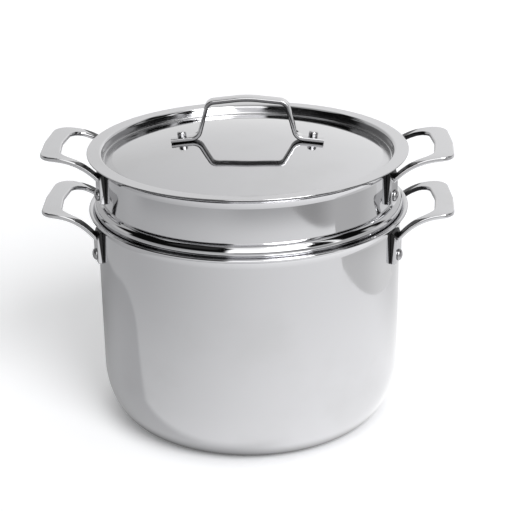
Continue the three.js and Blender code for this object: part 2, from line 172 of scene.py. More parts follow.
# Smudges and specks of handling: their scale, soft edge and added roughness
SMUDGE_SCALE = 14.0
SMUDGE_EDGE = (0.48, 0.72)
SMUDGE_DULLS = 0.025
SMUDGE_SHOWS = 0.35
SPECK_SCALE = 900.0
SPECK_EDGE = (0.62, 0.8)
SPECK_DULLS = 0.02
# Painted shade on the ears near the wall, and how it widens with height
EAR_SHADE = (0.0016, 0.0023)
EAR_SHADE_SLOPE = 0.08
# Bands on the lid: soft inner edge from the wall, soft upper edge from the flange or the dome's edge
RECESS_BAND = ((-0.0012, -0.0006), (-0.0022, -0.0012))
RIM_BAND = ((-0.0085, -0.0075), (0.0022, 0.0026))
SEAM_BAND = ((-0.0011, -0.0008), (0.0006, 0.0009))
RECESS_ENDS = (0.05, 0.095)
RECESS_DIM = (0.72, 0.5)
RIM_DULLED = 0.16
SEAM_DULLED = 0.3
# Normals of the faces on the loop handles that get painted shade
UPWARD = 0.35
FORWARD = -0.6


def declared(kind, **limits):
    """A short call for one kind of property."""

    def declare(name, description, default):
        return kind(name=name, description=description, default=default, **limits)

    return declare


number = declared(FloatProperty)
length = declared(FloatProperty, unit="LENGTH", precision=5)
angle = declared(FloatProperty, subtype="ANGLE")
share = declared(FloatProperty, subtype="FACTOR", min=0, max=1)
count = declared(IntProperty, min=1)
tint = declared(FloatVectorProperty, subtype="COLOR", size=3)
position = declared(FloatVectorProperty, subtype="TRANSLATION", size=3)


class PotSizes(PropertyGroup):
    """The pot's sheet metal."""

    radius: length("Wall radius", "Outer face of the straight wall", 0.1225)
    sheet: length("Sheet", "Thickness of the clad sheet", 0.0025)
    height: length("Height", "Top of the pouring rim", 0.178)
    corner_reach: length("Corner reach", "How far the base corner curves inwards", 0.0255)
    corner_rise: length("Corner rise", "How far up the wall the base corner ends", 0.044)
    rim: length("Rim radius", "Outer edge of the pouring rim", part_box("pot_body")[1].y)
    flare_rise: length("Flare rise", "Height over which the rim turns outwards", 0.0075)


class InsertSizes(PropertyGroup):
    """The insert's sheet metal and its perforations."""

    radius: length("Collar radius", "Outer face of the collar", 0.1185)
    sheet: length("Sheet", "Thickness of the sheet", 0.001)
    top: length("Top", "Top of the insert's rim over the pot's base", 0.223)
    rim: length("Rim radius", "Outer edge of the insert's rim", 0.1255)
    flare_rise: length("Flare rise", "Height over which the rim turns outwards", 0.0045)
    flare_ease: length("Flare ease", "How far below its start the flare eases out of the collar", 0.0036)
    bead_bulge: length("Bead bulge", "How far the bead stands out from the collar", 0.0055)
    bead_half: length("Bead half height", "Half the height of the bead", 0.0065)
    bead_fillet: length("Bead fillet", "Rounding where the collar meets the bead", 0.0003)
    shoulder: length("Shoulder", "Height over which the wall draws in below the bead", 0.008)
    basket_top: length("Basket top radius", "Outer face of the basket below its shoulder", 0.11725)
    basket_base: length("Basket base radius", "Outer face of the basket above its corner", 0.11525)
    basket_corner: length("Basket corner", "Radius of the corner at the basket's floor", 0.014)
    basket_floor: length(
        "Basket floor", "Underside of the floor over the pot's base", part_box("insert_body")[0].z
    )
    hole: length("Hole radius", "Radius of a perforation", 0.0035)
    ring_pitch: length("Ring pitch", "Distance between the rings of holes in the floor", 0.028)
    rings: count("Rings", "Rings of holes about the middle one", 3)
    first_ring: count("First ring", "Holes in the first ring", 6)
    wall_rows: count("Wall rows", "Rows of holes in the basket's wall", 2)
    wall_holes: count("Wall holes", "Holes in each of those rows", 18)
    wall_lift: length("Wall lift", "First row over the basket's corner", 0.014)
    wall_pitch: length("Wall pitch", "Distance between those rows", 0.018)


class LidSizes(PropertyGroup):
    """The lid's sheet metal."""

    radius: length("Flange radius", "Outer edge of the flange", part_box("lid_body")[1].x)
    sheet: length("Sheet", "Thickness of the sheet", 0.001)
    top: length("Top", "Upper face of the flange over the pot's base", 0.2243)
    bend: length("Flange bend", "Bend between the flange and the sunk wall", 0.0026)
    wall: length("Wall radius", "Inner face of the sunk wall", 0.1159)
    well_depth: length("Well depth", "Edge of the dome below the flange", 0.008)
    well_bend: length("Well bend", "Rounding where the wall meets the dome", 0.0016)
    dome: length("Dome radius", "Radius that the dome is spun to", 0.46)


class StrapSizes(PropertyGroup):
    """The lid's handle, a bent strap."""

    width: length("Width", "Width of the strap", 0.0105)
    thickness: length("Thickness", "Thickness of the strap", 0.0034)
    edge: length("Edge", "Rounding of the strap's edges", 0.0009)
    span: length("Span", "From end to end of the feet", 0.1215)
    foot: length("Foot", "From the end of a foot to the bend over it", 0.022)
    toe: length("Toe", "From the end of a foot to its rivet", 0.009)
    lean: length("Lean", "How far a leg leans in from its foot to the top", 0.00775)
    height: length("Height", "Shoulders over the middle of the dome", 0.0294)
    bow: length("Bow", "How much the top of the arch swells", 0.0034)
    knee_bend: length("Knee bend", "Bend over a foot", 0.008)
    shoulder_bend: length("Shoulder bend", "Bend at the top of a leg", 0.007)
    bow_bend: length("Bow bend", "Bend in the middle of the arch", 0.09)


class LoopSizes(PropertyGroup):
    """The cast loop handles of the pot and the insert."""

    pot_reach: length("Pot reach", "Outer edge of the pot's grips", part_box("pot_handle_right")[1].x)
    pot_rise: length("Pot rise", "How far the legs on the pot rise to the grip", 0.0226)
    insert_reach: length(
        "Insert reach", "Outer edge of the insert's grips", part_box("insert_handle_right")[1].x
    )
    insert_rise: length("Insert rise", "How far the legs on the insert rise to the grip", 0.0199)
    half_width: length("Half width", "Outer corners of the grip from its middle", 0.0402)
    bow: length("Bow", "How much the outer edge swells", 0.0022)
    thickness: length("Thickness", "Thickness of the casting", 0.0034)
    edge: length("Edge", "Rounding of the casting's edges", 0.0011)
    brow_width: length("Brow width", "Width of the rounding over the opening", 0.0018)
    brow_height: length("Brow height", "Height of the rounding over the opening", 0.0022)
    grip_width: length("Grip width", "Width of the grip", 0.0147)
    grip_corner: length("Grip corner", "Rounding of the grip's outer corners", 0.012)
    opening_corner: length("Opening corner", "Rounding of the opening's corners", 0.013)
    opening_bow: length("Opening bow", "How much the inner edge of the grip swells", 0.003)
    leg_width: length("Leg width", "Width of a leg", 0.008)
    leg_base: length("Leg base", "Middle of a leg over its rivet, at the wall", 0.009)
    leg_curve: number("Leg curve", "How early a leg levels out", 3)
    ear_spacing: length("Ear spacing", "Between the two rivets of a handle", 0.08)
    ear_width: length("Ear width", "Width of an ear", 0.016)
    ear_thickness: length("Ear thickness", "Thickness of an ear", 0.004)
    ear_tip: length("Ear tip", "Thickness of an ear at its top", 0.0016)
    ear_shoulder: length("Ear shoulder", "Where an ear starts to thin, over its rivet", 0.014)
    ear_above: length("Ear above", "Top of an ear over its rivet", 0.02)
    ear_below: length("Ear below", "Bottom of an ear under its rivet", 0.006)
    ear_edge: length("Ear edge", "Rounding of an ear's edges", 0.0008)
    ear_gap: length("Ear gap", "From the top of an ear to the flare over it", 0.0003)
    seat: length("Seat gap", "Between a handle and the wall it stands on", 0.0003)
    # Painted shade: a leg's upper face this near the wall takes the shaded finish
    leg_shade: length("Leg shade", "How far from the wall a leg's upper face stands in its shade", 0.02)


class RivetSizes(PropertyGroup):
    """The rivets through the handles."""

    shank: length("Shank radius", "Radius of a shank", 0.0025)
    head: length("Head radius", "Radius of a head on a loop handle", 0.0047)
    head_height: length("Head height", "Height of a head on a loop handle", 0.0026)
    stud: length("Stud radius", "Radius of a head on the lid", 0.0037)
    stud_height: length("Stud height", "Height of a head on the lid", 0.0042)
    butt: length("Butt radius", "Radius of the flattened end inside", 0.0044)
    butt_height: length("Butt height", "Height of the flattened end inside", 0.0012)
    seat: length("Seat gap", "Under a head and under a flattened end", 0.0003)
    hollow: length("Hollow", "How far the flattened end stands in from a curved wall", 0.00045)


class SteelFinish(PropertyGroup):
    """The finishes of the steel."""

    steel: tint("Steel", "Colour of polished steel", (0.592, 0.592, 0.605))
    tarnish: tint("Tarnish", "Colour of the faint smudges left by handling", (0.525, 0.524, 0.528))
    # Painted shade: the crevice colour darkens the ears by the wall and the sides of the lid's sunk wall
    crevice: tint("Crevice", "Colour of the steel where little light gets in", (0.03, 0.03, 0.03))
    sheet_gloss: share("Sheet roughness", "Roughness of the polished sheet", 0.06)
    cast_gloss: share("Casting roughness", "Roughness of the polished castings", 0.07)
    rivet_gloss: share("Rivet roughness", "Roughness of the rivets", 0.12)
    satin: share("Satin roughness", "Roughness of the brushed inside", 0.3)


class StudioSizes(PropertyGroup):
    """The floor, the lights and the camera."""

    floor: tint("Floor", "Colour of the floor", (0.825, 0.83, 0.845))
    lift: share("Floor lift", "Light that the floor gives off to the eye", 0.35)
    shine: share("Floor shine", "Light that the floor in front gives off to the steel", 0.62)
    slant: share("Floor slant", "How much more of it comes from the right than from the front", 0.26)
    sun: number("Key", "Strength of the key light", 1.75)
    sun_size: angle("Key size", "How wide the key light looks from the pot", radians(30))
    sun_turn: angle("Key turn", "How far right of the camera the key light stands", radians(33))
    sun_rise: angle("Key rise", "How far over the horizon the key light stands", radians(42))
    backdrop: number("Backdrop", "Brightness of the backdrop", 0.96)
    cards: number("Cards", "Brightness of the studio cards", 1.0)
    aim: position("Aim", "Point that the camera looks at", (0.00539, 0.00028, 0.12907))
    distance: length("Distance", "From the camera to that point", 1.15324)
    pitch: angle("Pitch", "How far the camera looks down", radians(22.177))
    turn: angle("Turn", "How far the camera stands to the right", radians(2.6))
    roll: angle("Roll", "How far the camera leans", radians(-0.827))
    lens: number("Lens", "Focal length in millimetres", 98.44)


GROUPS = {
    "pot_sizes": PotSizes,
    "insert_sizes": InsertSizes,
    "lid_sizes": LidSizes,
    "strap_sizes": StrapSizes,
    "loop_sizes": LoopSizes,
    "rivet_sizes": RivetSizes,
    "steel_finish": SteelFinish,
    "studio_sizes": StudioSizes,
}


def flat(x, y):
    """A point of a profile or a plan."""
    return Vector((x, y))


def ellipse(centre, radii, start, end, steps=BEND_STEPS):
    """Points along an ellipse about a centre, between two angles in degrees."""
    turns = [radians(start + (end - start) * i / steps) for i in range(steps + 1)]
    return [flat(centre.x + radii.x * cos(turn), centre.y + radii.y * sin(turn)) for turn in turns]


def rounded(corners, steps=BEND_STEPS):
    """A line through corners, each rounded by its own radius. A radius of 0 keeps the corner."""
    points = []
    for i, (point, radius) in enumerate(corners):
        if not radius:
            points.append(point)
            continue
        back, ahead = [(corners[k][0] - point).normalized() for k in (i - 1, i + 1)]
        half = back.angle(ahead) / 2
        centre = point + (back + ahead).normalized() * radius / sin(half)
        ends = [(point + way * radius / tan(half) - centre).normalized() for way in (back, ahead)]
        points += [centre + ends[0].slerp(ends[1], k / steps) * radius for k in range(steps + 1)]
    return points


def offset(line, distance):
    """The same line moved sideways: to its left for a positive distance."""
    moved = []
    for i, point in enumerate(line):
        before = line[i - 1] if i else 2 * point - line[1]
        after = line[i + 1] if i + 1 < len(line) else 2 * point - before
        out = (after - point).normalized()
        along = ((point - before).normalized() + out).normalized()
        moved.append(point + flat(-along.y, along.x) * distance / along.dot(out))
    return moved


def between(first, last, steps=12):
    """Points inside a straight stretch, closer together near its ends so that it shades flat."""
    return [first.lerp(last, (1 - cos(pi * i / steps)) / 2) for i in range(1, steps)]


def sheet_profile(face, thickness):
    """A closed profile of sheet metal from one face, and the index where its other face starts."""
    other = offset(face, thickness)
    other[0].x = 0
    middle = (face[-1] + other[-1]) / 2
    first = face[-1] - middle
    along = (face[-1] - face[-2]).normalized() * first.length
    turns = [pi * i / (2 * EDGE_STEPS) for i in range(1, 2 * EDGE_STEPS)]
    edge = [middle + first * cos(turn) + along * sin(turn) for turn in turns]
    return [*face, *edge, *reversed(other)], len(face) + EDGE_STEPS


def spun(profile, inside_from=None, shaded=(), steps=TURN_STEPS):
    """A profile turned about the Z axis, with its second finish inside and its third, painted shade, on the
    shaded rows.
    """
    skin = bmesh.new()
    rings = []
    for point in profile:
        spokes = 1 if point.x < ON_AXIS else steps
        turns = [2 * pi * k / steps for k in range(spokes)]
        rings.append([skin.verts.new((point.x * cos(t), point.x * sin(t), point.y)) for t in turns])
    for i, (low, high) in enumerate(zip(rings, rings[1:])):
        for k in range(steps):
            ahead = (k + 1) % steps
            corners = [low[k % len(low)], low[ahead % len(low)], high[ahead % len(high)], high[k % len(high)]]
            face = skin.faces.new(list(dict.fromkeys(corners)))
            if i in shaded:
                face.material_index = 2
            elif inside_from is not None and i >= inside_from:
                face.material_index = 1
    bmesh.ops.recalc_face_normals(skin, faces=skin.faces)
    return skin


def lofted(sections):
    """A closed skin over sections that all have the same number of points."""
    skin = bmesh.new()
    rings = [[skin.verts.new(point) for point in section] for section in sections]
    size = len(rings[0])
    for low, high in zip(rings, rings[1:]):
        for k in range(size):
            ahead = (k + 1) % size
            skin.faces.new((low[k], low[ahead], high[ahead], high[k]))
    skin.faces.new(rings[0])
    skin.faces.new(rings[-1])
    bmesh.ops.recalc_face_normals(skin, faces=skin.faces)
    return skin


def eased_ring(half_width, half_thickness, edge, brow=None):
    """A rectangle with rounded edges, as places across it and heights. A brow rounds one edge more."""
    ring = []
    for across, up, start in ((1, -1, -90), (1, 1, 0), (-1, 1, 90), (-1, -1, 180)):
        radii = brow if brow and across == up == 1 else flat(edge, edge)
        centre = flat(across * (half_width - radii.x), up * (half_thickness - radii.y))
        ring += ellipse(centre, radii, start, start + 90, EDGE_STEPS)
    return ring


def drum(radius, low, high, steps=TURN_STEPS):
    """A plain round cutter about the Z axis."""
    return spun([flat(0, low), flat(radius, low), flat(radius, high), flat(0, high)], steps=steps)


def pointing(point, direction):
    """A place whose Z axis lies along a direction."""
    return Matrix.Translation(point) @ Vector(direction).to_track_quat("Z", "Y").to_matrix().to_4x4()


def placed(name, data):
    """An object in the scene from its data."""
    made = bpy.data.objects.new(name, data)
    bpy.context.scene.collection.objects.link(made)
    return made


def as_object(name, skin):
    """An object in the scene from a skin, which is used up."""
    data = bpy.data.meshes.new(name)
    skin.to_mesh(data)
    skin.free()
    return placed(name, data)


def together(skins):
    """Several skins as one that need not touch."""
    whole = bmesh.new()
    for skin in skins:
        data = bpy.data.meshes.new("part_of_a_cutter")
        skin.to_mesh(data)
        skin.free()
        whole.from_mesh(data)
        bpy.data.meshes.remove(data)
    return whole


def worked(skin, *steps):
    """A skin after steps such as ("UNION", other) or ("DIFFERENCE", other), as a new skin."""
    base = as_object("blank", skin)
    tools = []
    for operation, other in steps:
        tool = as_object("tool", other)
        cut = base.modifiers.new(operation.title(), "BOOLEAN")
        cut.operation = operation
        cut.solver = "EXACT"
        cut.object = tool
        tools.append(tool)
    ready = base.evaluated_get(bpy.context.evaluated_depsgraph_get())
    result = bmesh.new()
    result.from_mesh(ready.to_mesh())
    ready.to_mesh_clear()
    for spare in (base, *tools):
        data = spare.data
        bpy.data.objects.remove(spare)
        bpy.data.meshes.remove(data)
    return result


def show(name, skin, node, finishes):
    """Puts a piece in the scene in place of its CAD node, with its finishes by name."""
    made = as_object(name, skin)
    made.data.shade_smooth()
    made.data.set_sharp_from_angle(angle=SHARP_ANGLE)
    for finish in finishes:
        made.data.materials.append(steel(finish))
    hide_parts(node)
    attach(made, node.split("_")[0])
    return made


class Wire:
    """One output of a node, so that shader maths is written as expressions."""

    def __init__(self, bench, socket):
        self.bench = bench
        self.socket = socket

    def maths(self, operation, other):
        """A Math node on this wire and another wire or number."""
        return self.bench.node("ShaderNodeMath", {"operation": operation}, {0: self, 1: other})

    def __add__(self, other):
        return self.maths("ADD", other)

    def __sub__(self, other):
        return self.maths("SUBTRACT", other)

    def __rsub__(self, other):
        return self.bench.node("ShaderNodeMath", {"operation": "SUBTRACT"}, {0: other, 1: self})

    def __mul__(self, other):
        return self.maths("MULTIPLY", other)

    def __pow__(self, other):
        return self.maths("POWER", other)

    __radd__ = __add__
    __rmul__ = __mul__

    def above(self, low, high):
        """0 below the first value, 1 above the second, and a smooth change between them."""
        sockets = {"Value": self, "From Min": low, "From Max": high}
        return self.bench.node("ShaderNodeMapRange", {"interpolation_type": "SMOOTHSTEP"}, sockets)

    def beside(self, edges, right, left):
        """One share to the right of soft edges, and another as far to the left of 0."""
        return right * self.above(*edges) + left * (0 - self).above(*edges)


class Bench:
    """The node tree of a material or a world."""

    def __init__(self, owner):
        owner.use_nodes = True
        self.tree = owner.node_tree
        self.tree.nodes.clear()

    def node(self, kind, settings=None, sockets=None, output=0):
        """Adds a node: its settings first, then the values or links of its sockets."""
        made = self.tree.nodes.new(kind)
        for name, value in (settings or {}).items():
            setattr(made, name, value)
        for key, value in (sockets or {}).items():
            if isinstance(value, Wire):
                self.tree.links.new(value.socket, made.inputs[key])
            else:
                made.inputs[key].default_value = value
        return Wire(self, made.outputs[output]) if made.outputs else made

    def axes(self, output):
        """The three parts of a texture coordinate."""
        place = self.node("ShaderNodeTexCoord", output=output)
        parts = self.node("ShaderNodeSeparateXYZ", sockets={0: place})
        return [Wire(self, socket) for socket in parts.socket.node.outputs]

    def noise(self, place, scale, detail):
        sockets = {"Vector": place, "Scale": scale, "Detail": detail}
        return self.node("ShaderNodeTexNoise", sockets=sockets)

    def vector(self, x, y, z):
        return self.node("ShaderNodeCombineXYZ", sockets={0: x, 1: y, 2: z})

    def colour(self, factor, first, second):
        """Two colours mixed by a factor."""
        first, second = [end if isinstance(end, Wire) else (*end, 1) for end in (first, second)]
        return self.node("ShaderNodeMix", {"data_type": "RGBA"}, {0: factor, 6: first, 7: second}, 2)


def steel(name, lit_share=None, dulled=None):
    """A steel finish, made once, with any painted shade from its share. A lit share may vary by place,
    painting shade where it falls, and so may the added roughness.
    """
    ready = bpy.data.materials.get(name)
    if ready:
        return ready
    finish = bpy.context.scene.steel_finish
    gloss_name, ripple, lines, brushed, shade = FINISHES[name]
    roughness = getattr(finish, gloss_name)
    made = bpy.data.materials.new(name)
    bench = Bench(made)
    x, y, z = bench.axes("Object")
    place = bench.vector(x, y, z)
    spoke = (x * x + y * y) ** 0.5
    turning = bench.noise(bench.vector(x * LINE_SPREAD, y * LINE_SPREAD, (z + spoke) * lines), 1.0, 4.0)
    smudge = bench.noise(place, SMUDGE_SCALE, 5.0).above(*SMUDGE_EDGE)
    specks = bench.noise(place, SPECK_SCALE, 2.0).above(*SPECK_EDGE)
    gloss = roughness + SMUDGE_DULLS * smudge + SPECK_DULLS * specks + brushed * (turning - 0.5)
    height = bench.noise(place, RIPPLE_SCALE, 1.0) * ripple + turning * (brushed * brushed * LINE_DEPTH)
    bump = bench.node("ShaderNodeBump", sockets={"Strength": 1.0, "Distance": 1.0, "Height": height})
    wear = smudge * SMUDGE_SHOWS + turning * brushed
    # Painted shade: a share under 1 darkens both colours, and a lit share under 1 mixes in the crevice colour
    clean, worn = [[part * shade for part in tone] for tone in (finish.steel, finish.tarnish)]
    colour = bench.colour(wear, clean, worn)
    if lit_share:
        colour = bench.colour(lit_share(x, z, spoke), finish.crevice, colour)
    if dulled:
        gloss = gloss + dulled(x, z, spoke)
    surface = {"Base Color": colour, "Metallic": 1.0, "Roughness": gloss, "Normal": bump}
    shader = bench.node("ShaderNodeBsdfPrincipled", sockets=surface)
    bench.node("ShaderNodeOutputMaterial", sockets={"Surface": shader})
    return made


def loop_casting(body, wall, seat):
    """A body's finish for castings, with painted shade close to the wall they stand on, and wider so up an
    ear.
    """

    def lit_share(x, z, spoke):
        low, high = EAR_SHADE
        return (spoke - EAR_SHADE_SLOPE * (z - seat)).above(wall + low, wall + high)

    steel(f"{body}_casting", lit_share)


def lid_sheet(lid):
    """The polished sheet's finish, with painted shade at the sides of the sunk wall, and dull at the dome's
    edge.
    """
    joint = lid.top - lid.well_depth

    def band(z, spoke, level, edges):
        """1 in a band along the wall, below a height."""
        inner, upper = edges
        outside = spoke.above(*[lid.wall + step for step in inner])
        return outside * (1 - z.above(*[level + step for step in upper]))

    # Painted shade at the sides of the sunk wall, deeper at the right side
    def lit_share(x, z, spoke):
        return 1 - band(z, spoke, lid.top, RECESS_BAND) * x.beside(RECESS_ENDS, *RECESS_DIM)

    def dulled(x, z, spoke):
        return RIM_DULLED * band(z, spoke, joint, RIM_BAND) + SEAM_DULLED * band(z, spoke, joint, SEAM_BAND)

    steel("lid_sheet", lit_share, dulled)


def pot_rim(pot):
    """The outer face of the pouring rim, and the height where it leaves the wall."""
    start = pot.height - pot.sheet - pot.flare_rise
    edge = pot.rim - pot.sheet / 2
    return ellipse(flat(edge, start), flat(edge - pot.radius, pot.flare_rise), 180, 90, 24), start


def insert_flare_start(insert):
    return insert.top - insert.sheet - insert.flare_rise


def handle_walls(scene):
    """Each wall with handles: body, radius, sheet, the grips' reach and rise, and the rivets' height."""
    pot, insert, loop = scene.pot_sizes, scene.insert_sizes, scene.loop_sizes
    starts = (pot_rim(pot)[1], insert_flare_start(insert))
    pot_seat, insert_seat = [start - loop.ear_above - loop.ear_gap for start in starts]
    return (
        ("pot", pot.radius, pot.sheet, loop.pot_reach, loop.pot_rise, pot_seat),
        ("insert", insert.radius, insert.sheet, loop.insert_reach, loop.insert_rise, insert_seat),
    )


def dome_height(lid, radius):
    """Height of the lid's dome at a distance from its middle."""
    drop, edge = [lid.dome - sqrt(lid.dome**2 - place**2) for place in (radius, lid.wall)]
    return lid.top - lid.well_depth + edge - drop


class STEAMER_OT_pot_body(Operator):
    """Builds the pot: a tall clad shell with a pouring rim"""

    bl_idname = "steamer.pot_body"
    bl_label = "Pot Body"

    def execute(self, context):
        pot = context.scene.pot_sizes
        centre = flat(pot.radius - pot.corner_reach, pot.corner_rise)
        corner = ellipse(centre, flat(pot.corner_reach, pot.corner_rise), -90, 0, 40)
        rim, start = pot_rim(pot)
        wall = between(corner[-1], rim[0], 24)
        bottom = [flat(0, 0), *between(flat(0, 0), corner[0])]
        profile, inside = sheet_profile([*bottom, *corner, *wall, *rim], pot.sheet)
        skin = spun(profile, inside + EDGE_STEPS + len(rim))
        show("pot_shell", skin, "pot_body", ("mirror_sheet", "satin_sheet"))
        return {"FINISHED"}


class STEAMER_OT_insert_body(Operator):
    """Builds the steamer insert: a collar with a bead over a perforated basket"""

    bl_idname = "steamer.insert_body"
    bl_label = "Insert Body"

    def bead_height(self, insert, pot, seat):
        """Middle of the bead, which stands in the pot's rim."""
        heights = []
        for point in offset(pot_rim(pot)[0], pot.sheet):
            reach = (point.x - insert.radius) / insert.bead_bulge
            if 0 < reach < 1:
                heights.append(point.y + insert.bead_half * sqrt(1 - reach**2))
        return max(heights) + seat

    def holes(self, insert):
        """Cutters for the perforations."""
        deep = HOLE_DEPTH * insert.sheet
        floor = insert.basket_floor
        places = [((0, 0, floor), (0, 0, 1))]
        for ring in range(1, insert.rings + 1):
            around = insert.first_ring * ring
            reach = insert.ring_pitch * ring
            for i in range(around):
                turn = 2 * pi * i / around
                places.append(((reach * cos(turn), reach * sin(turn), floor), (0, 0, 1)))
        for row in range(insert.wall_rows):
            height = floor + insert.basket_corner + insert.wall_lift + row * insert.wall_pitch
            for i in range(insert.wall_holes):
                turn = 2 * pi * (i + row / 2) / insert.wall_holes
                out = Vector((cos(turn), sin(turn), 0))
                places.append((out * insert.basket_base + Vector((0, 0, height)), out))
        cutters = []
        for spot, out in places:
            cutter = drum(insert.hole, -deep, deep, HOLE_STEPS)
            cutter.transform(pointing(spot, out))
            cutters.append(cutter)
        return together(cutters)

    def execute(self, context):
        insert = context.scene.insert_sizes
        middle = self.bead_height(insert, context.scene.pot_sizes, context.scene.loop_sizes.seat)
        edge = insert.rim - insert.sheet / 2
        start = insert_flare_start(insert)
        corner = insert.basket_corner
        round_corner = ellipse(
            flat(insert.basket_base - corner, insert.basket_floor + corner), flat(corner, corner), -90, 0, 14
        )
        bulge = flat(insert.bead_bulge, insert.bead_half)
        bead = ellipse(flat(insert.radius, middle), bulge, -BEAD_SWEEP, BEAD_SWEEP, 40)
        shoulder = flat(insert.basket_top, middle - insert.bead_half - insert.shoulder)
        joints = (middle - insert.bead_half, middle + insert.bead_half)
        below, above = [(flat(insert.radius, joint), insert.bead_fillet) for joint in joints]
        wall = rounded([(round_corner[-1], 0), (shoulder, SHOULDER_BEND), below, (bead[0], 0)])[1:-1]
        wall = [*between(round_corner[-1], wall[0], 16), *wall]
        collar = rounded([(bead[-1], 0), above, (flat(insert.radius, start), 0)])[1:-1]
        start -= insert.flare_ease
        collar += between(collar[-1], flat(insert.radius, start), 16)
        curve = flat(edge - insert.radius, insert.flare_rise + insert.flare_ease)
        flare = ellipse(flat(edge, start), curve, 180, 90, 20)
        centre = flat(0, insert.basket_floor)
        bottom = [centre, *between(centre, round_corner[0])]
        face = [*bottom, *round_corner, *wall, *bead, *collar, *flare]
        profile, inside = sheet_profile(face, insert.sheet)
        # Painted shade on the bead's lower flank and on the rim's rounded edge, as the crevices by the pot's
        # rim and the lid's flange
        under = len(bottom) + len(round_corner) + len(wall)
        shaded = (*range(under, under + BEAD_SHADED), *range(inside - EDGE_STEPS - 1, inside + EDGE_STEPS))
        skin = spun(profile, inside + EDGE_STEPS + len(flare), shaded)
        skin = worked(skin, ("DIFFERENCE", self.holes(insert)))
        finishes = ("mirror_sheet", "satin_sheet", "shaded_sheet")
        show("insert_shell", skin, "insert_body", finishes)
        return {"FINISHED"}


class STEAMER_OT_lid_body(Operator):
    """Builds the lid: a flange, a sunk wall and a polished dome"""

    bl_idname = "steamer.lid_body"
    bl_label = "Lid Body"

    def execute(self, context):
        lid = context.scene.lid_sizes
        top = dome_height(lid, 0)
        sweep = degrees(asin(lid.wall / lid.dome))
        dome = ellipse(flat(0, top - lid.dome), flat(lid.dome, lid.dome), 90, 90 - sweep, 60)
        brim = (flat(lid.wall, lid.top), lid.bend)
        end = (flat(lid.radius - lid.sheet / 2, lid.top), 0)
        wall = rounded([(dome[-2], 0), (dome[-1], lid.well_bend), brim, end])
        dome[0].x = 0
        well = wall[1 : BEND_STEPS + 2]
        lip = wall[BEND_STEPS + 2 : -1]
        sunk = between(well[-1], lip[0], 6)
        flange = between(lip[-1], wall[-1])
        face = [*dome[:-2], *well, *sunk, *lip, *flange, wall[-1]]
        profile, inside = sheet_profile(face, -lid.sheet)
        # Painted shade on half of the flange's rounded edge, a dark line over the insert's rim
        skin = spun(profile, inside, range(inside - 1, inside + EDGE_STEPS))
        lid_sheet(lid)
        finishes = ("lid_sheet", "satin_sheet", "shaded_sheet")
        show("lid_shell", skin, "lid_body", finishes)
        return {"FINISHED"}


def foot_place(lid, strap):
    """A foot's rivet from the middle of the lid, and how far the foot slopes to lie on the dome."""
    reach = strap.span / 2 - strap.toe
    return reach, asin(reach / lid.dome)


class STEAMER_OT_lid_handle(Operator):
    """Builds the lid's handle: a flat strap bent to an arch with a foot at each end"""

    bl_idname = "steamer.lid_handle"
    bl_label = "Lid Handle"

    def execute(self, context):
        lid = context.scene.lid_sizes
        strap = context.scene.strap_sizes
        rivet, tilt = foot_place(lid, strap)
        knee = strap.span / 2 - strap.foot
        rise = (context.scene.rivet_sizes.seat + strap.thickness / 2) / cos(tilt)
        foot = dome_height(lid, rivet) + rise
        shoulder = dome_height(lid, 0) + strap.height
        half = [
            (flat(strap.span / 2, foot - (strap.span / 2 - rivet) * tan(tilt)), 0),
            (flat(knee, foot - (knee - rivet) * tan(tilt)), strap.knee_bend),
            (flat(knee - strap.lean, shoulder), strap.shoulder_bend),
        ]
        mirrored = [(flat(-point.x, point.y), radius) for point, radius in reversed(half)]
        line = rounded([*half, (flat(0, shoulder + strap.bow), strap.bow_bend), *mirrored], 14)
        ring = eased_ring(strap.width / 2, strap.thickness / 2, strap.edge)
        sections = []
        for i, point in enumerate(line):
            before = line[max(i - 1, 0)]
            after = line[min(i + 1, len(line) - 1)]
            along = (after - before).normalized()
            up = flat(along.y, -along.x)
            sections.append([(point.x + up.x * lift, across, point.y + up.y * lift) for across, lift in ring])
        skin = lofted(sections)
        # Painted shade on the strap's lower edges and underside, and half as much on its front face
        front = 3 * EDGE_STEPS + 2
        for i, face in enumerate(skin.faces):
            if i % len(ring) not in range(EDGE_STEPS, front + 1):
                face.material_index = 1
            elif i % len(ring) == front:
                face.material_index = 2
        finishes = ("mirror_casting", "shaded_casting", "painted_half_shade_casting")
        show("lid_strap", skin, "lid_handle", finishes)
        return {"FINISHED"}


